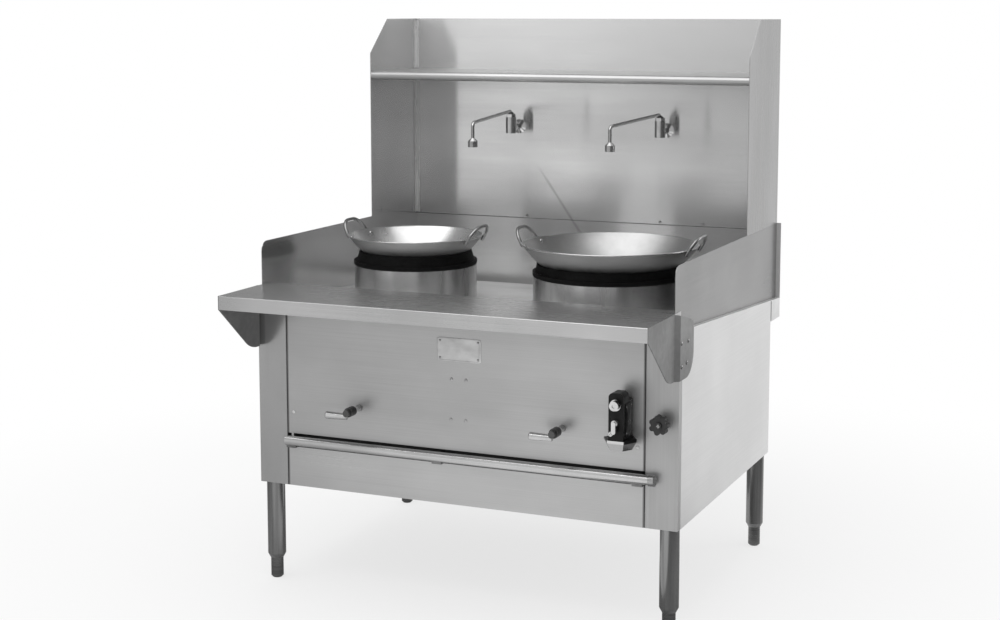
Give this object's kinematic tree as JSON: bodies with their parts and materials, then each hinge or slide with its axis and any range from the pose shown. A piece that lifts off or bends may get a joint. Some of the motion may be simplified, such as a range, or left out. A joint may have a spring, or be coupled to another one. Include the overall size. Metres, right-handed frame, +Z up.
{
  "type": "commercial wok range",
  "caption": "Free-standing gas wok range in stainless sheet: lift-off woks on cast rings over jet burners, swing spouts, knee levers, tall backsplash with shelf.",
  "frame": {"origin": "on the floor, under the middle of the overall box", "axes": "+X to the right seen from the front, +Y to the back, +Z up"},
  "size_m": [1.224, 1.2, 1.562],
  "materials": {
    "stainless_sheet": "satin brushed sheet",
    "gusset_steel": "dull sheet",
    "frame_steel": "dark grey paint",
    "leg_pipe": "grey pipe",
    "foot_steel": "turned steel",
    "rail_pipe": "bright pipe",
    "polished_steel": "polished band",
    "lining_clay": "dry fired clay",
    "cast_iron": "black cast iron",
    "wok_steel": "used bare steel",
    "shutter_steel": "plain steel",
    "valve_brass": "turned brass",
    "lever_metal": "cast, lightly polished",
    "gas_pipe": "black iron pipe",
    "black_enamel": "gloss black",
    "bright_chrome": "plated",
    "knob_plastic": "black moulded",
    "copper_pipe": "copper pipe"
  },
  "bodies": {
    "range": {"left_side_panel": "stainless_sheet", "right_side_panel": "stainless_sheet", "rear_panel": "stainless_sheet", "left_post": "stainless_sheet", "right_post": "stainless_sheet", "front_panel": "stainless_sheet", "kick_panel": "stainless_sheet", "deck": "stainless_sheet", "front_shelf": "stainless_sheet", "left_end_splash": "stainless_sheet", "right_end_splash": "stainless_sheet", "rear_splash": "stainless_sheet", "backsplash": "stainless_sheet", "left_wing": "stainless_sheet", "right_wing": "stainless_sheet", "overhead_shelf": "stainless_sheet", "back_cover": "stainless_sheet", "drain_tail": "stainless_sheet", "left_gusset": "gusset_steel", "right_gusset": "gusset_steel", "base_frame": "frame_steel", "left_chamber": "frame_steel", "right_chamber": "frame_steel", "pipe_legs": "leg_pipe", "front_rail": "rail_pipe", "rail_saddles": "rail_pipe", "rail_cap": "rail_pipe", "left_collar": "polished_steel", "right_collar": "polished_steel", "left_lining": "lining_clay", "right_lining": "lining_clay", "left_burner": "cast_iron", "right_burner": "cast_iron", "left_gas_valve": "valve_brass", "right_gas_valve": "valve_brass", "water_valve": "valve_brass", "gas_manifold": "gas_pipe", "safety_valve_body": "black_enamel", "left_faucet_body": "bright_chrome", "right_faucet_body": "bright_chrome", "water_pipes": "copper_pipe"},
    "left_ring": {"left_wok_ring": "cast_iron"},
    "left_wok": {"left_wok": "wok_steel", "left_wok_handles": "wok_steel"},
    "left_lever": {"left_knee_lever": "lever_metal"},
    "left_shutter": {"left_air_shutter": "shutter_steel"},
    "left_swing_spout": {"left_spout": "bright_chrome"},
    "right_ring": {"right_wok_ring": "cast_iron"},
    "right_wok": {"right_wok": "wok_steel", "right_wok_handles": "wok_steel"},
    "right_lever": {"right_knee_lever": "lever_metal"},
    "right_shutter": {"right_air_shutter": "shutter_steel"},
    "right_swing_spout": {"right_spout": "bright_chrome"},
    "foot_front_left": {"foot_front_left": "foot_steel"},
    "foot_front_right": {"foot_front_right": "foot_steel"},
    "foot_rear_left": {"foot_rear_left": "foot_steel"},
    "foot_rear_right": {"foot_rear_right": "foot_steel"},
    "water_knob": {"water_knob": "knob_plastic"},
    "reset_button": {"reset_button": "bright_chrome"},
    "pilot_cock": {"pilot_cock": "bright_chrome"}
  },
  "joints": [
    {"name": "left_ring_lift", "type": "slide", "parent": "range", "child": "left_ring", "axis": [0, 0, 1], "range_m": [0, 0.05]},
    {"name": "left_wok_lift", "type": "slide", "parent": "left_ring", "child": "left_wok", "axis": [0, 0, 1], "range_m": [0, 0.12]},
    {"name": "left_lever_turn", "type": "hinge", "parent": "range", "child": "left_lever", "pos_m": [-0.296, -0.383, 0.518], "axis": [0, -1, 0], "range_deg": [0, 90]},
    {"name": "left_shutter_turn", "type": "hinge", "parent": "range", "child": "left_shutter", "pos_m": [-0.296, -0.263, 0.518], "axis": [0, -1, 0], "range_deg": [0, 45]},
    {"name": "right_ring_lift", "type": "slide", "parent": "range", "child": "right_ring", "axis": [0, 0, 1], "range_m": [0, 0.05]},
    {"name": "right_wok_lift", "type": "slide", "parent": "right_ring", "child": "right_wok", "axis": [0, 0, 1], "range_m": [0, 0.12]},
    {"name": "right_lever_turn", "type": "hinge", "parent": "range", "child": "right_lever", "pos_m": [0.296, -0.383, 0.518], "axis": [0, -1, 0], "range_deg": [0, 90]},
    {"name": "right_shutter_turn", "type": "hinge", "parent": "range", "child": "right_shutter", "pos_m": [0.296, -0.263, 0.518], "axis": [0, -1, 0], "range_deg": [0, 45]},
    {"name": "left_spout_swing", "type": "hinge", "parent": "range", "child": "left_swing_spout", "pos_m": [-0.2321, 0.512, 1.265], "axis": [0, 0, 1], "range_deg": [-62, 70]},
    {"name": "right_spout_swing", "type": "hinge", "parent": "range", "child": "right_swing_spout", "pos_m": [0.2547, 0.512, 1.265], "axis": [0, 0, 1], "range_deg": [-75, 52]},
    {"name": "foot_front_left_screw", "type": "slide", "parent": "range", "child": "foot_front_left", "axis": [0, 0, -1], "range_m": [0, 0.03]},
    {"name": "foot_front_right_screw", "type": "slide", "parent": "range", "child": "foot_front_right", "axis": [0, 0, -1], "range_m": [0, 0.03]},
    {"name": "foot_rear_left_screw", "type": "slide", "parent": "range", "child": "foot_rear_left", "axis": [0, 0, -1], "range_m": [0, 0.03]},
    {"name": "foot_rear_right_screw", "type": "slide", "parent": "range", "child": "foot_rear_right", "axis": [0, 0, -1], "range_m": [0, 0.03]},
    {"name": "water_knob_turn", "type": "hinge", "parent": "range", "child": "water_knob", "pos_m": [0.57, -0.383, 0.56], "axis": [0, -1, 0], "range_deg": [0, 540]},
    {"name": "reset_push", "type": "slide", "parent": "range", "child": "reset_button", "axis": [0, 1, 0], "range_m": [0, 0.006], "stiffness_N_per_m": 400},
    {"name": "pilot_cock_turn", "type": "hinge", "parent": "range", "child": "pilot_cock", "pos_m": [0.4694, -0.465, 0.566], "axis": [0, -1, 0], "range_deg": [0, 90]}
  ]
}
